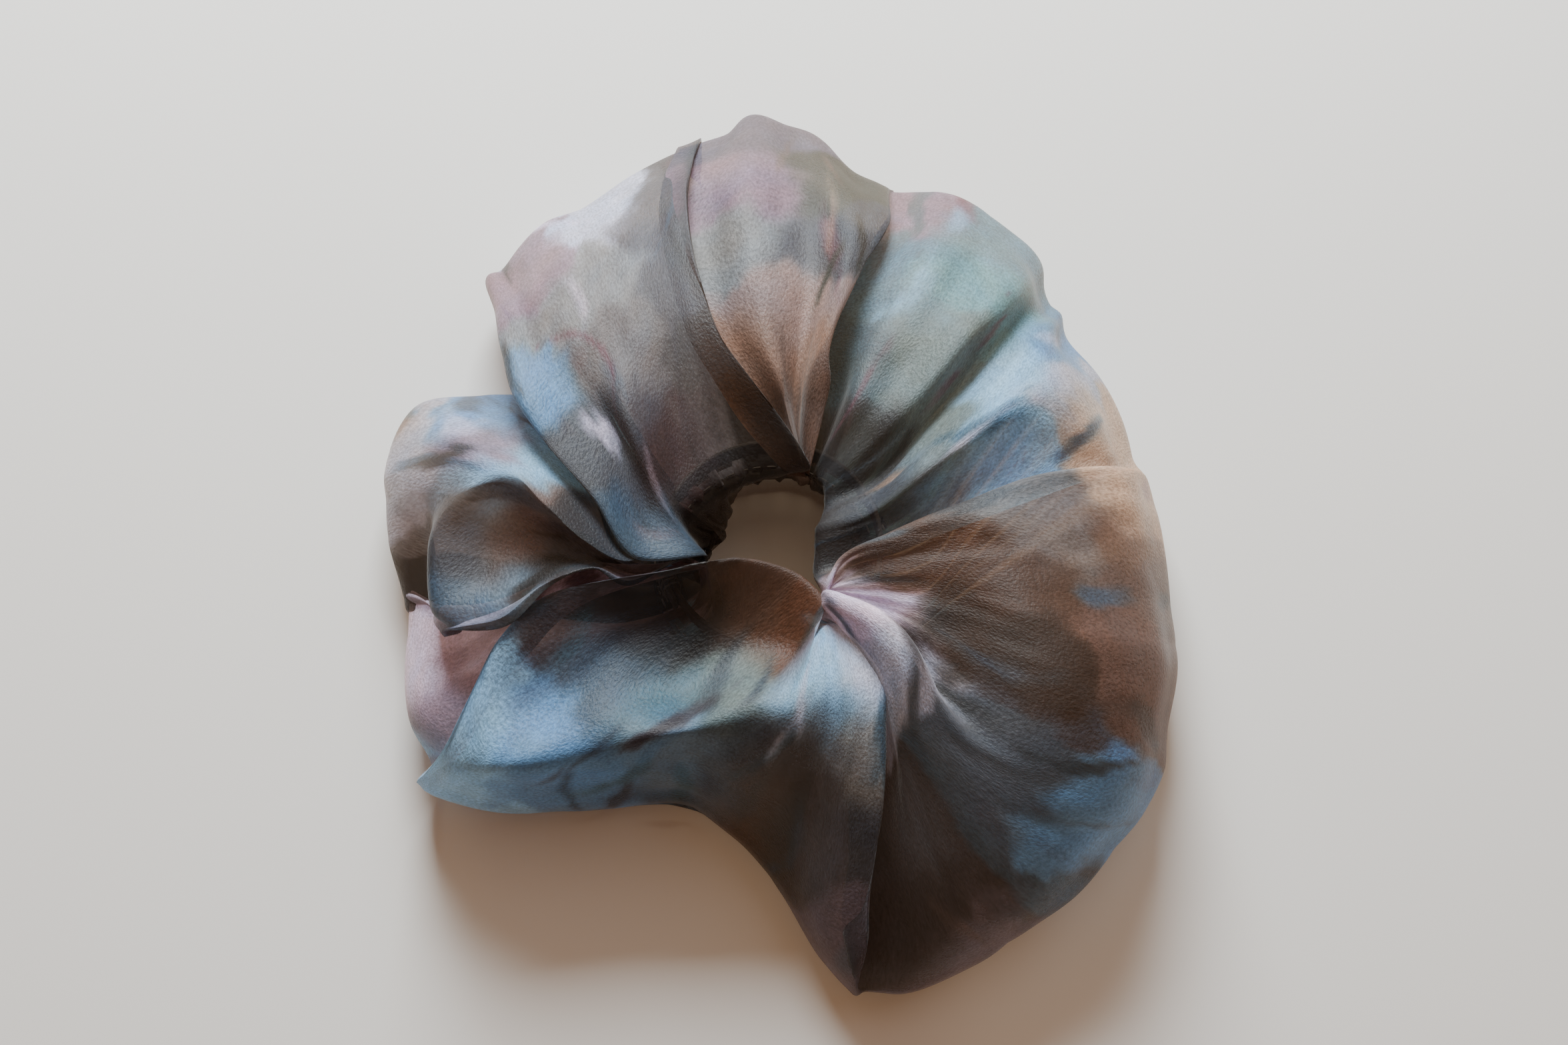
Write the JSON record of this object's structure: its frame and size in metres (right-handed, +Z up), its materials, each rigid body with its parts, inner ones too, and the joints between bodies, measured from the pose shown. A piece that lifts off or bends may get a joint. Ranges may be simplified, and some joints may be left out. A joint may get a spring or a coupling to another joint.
{
  "type": "hair scrunchie",
  "caption": "Oversized gathered scrunchie: a sheer printed cloth tube shirred on an elastic loop, puffed into soft petals round a small hair hole; it stretches sideways.",
  "frame": {"origin": "middle of the outline's box, at the underside that rests on the table", "axes": "+Z up; +Y towards the far petals, along the longest extent; +X to the right, the way the loop is pulled"},
  "size_m": [0.165, 0.1968, 0.0452],
  "materials": {
    "printed_cloth": "sheer satin organza with a watercolour print",
    "elastic": "woven flat elastic",
    "thread": "polyester sewing thread",
    "seam_allowance": "two plies of the cover's cloth, stitched"
  },
  "bodies": {
    "held_side": {"cover_held_half": "printed_cloth", "elastic_loop": "elastic", "elastic_tack": "thread", "lengthwise_seam": "seam_allowance", "closing_seam": "seam_allowance"},
    "pulled_side": {"cover_pulled_half": "printed_cloth"}
  },
  "joints": [
    {"name": "stretch", "type": "slide", "parent": "held_side", "child": "pulled_side", "axis": [1, 0, 0], "range_m": [0, 0.08], "stiffness_N_per_m": 60, "deforming": ["elastic_loop", "lengthwise_seam"]}
  ]
}
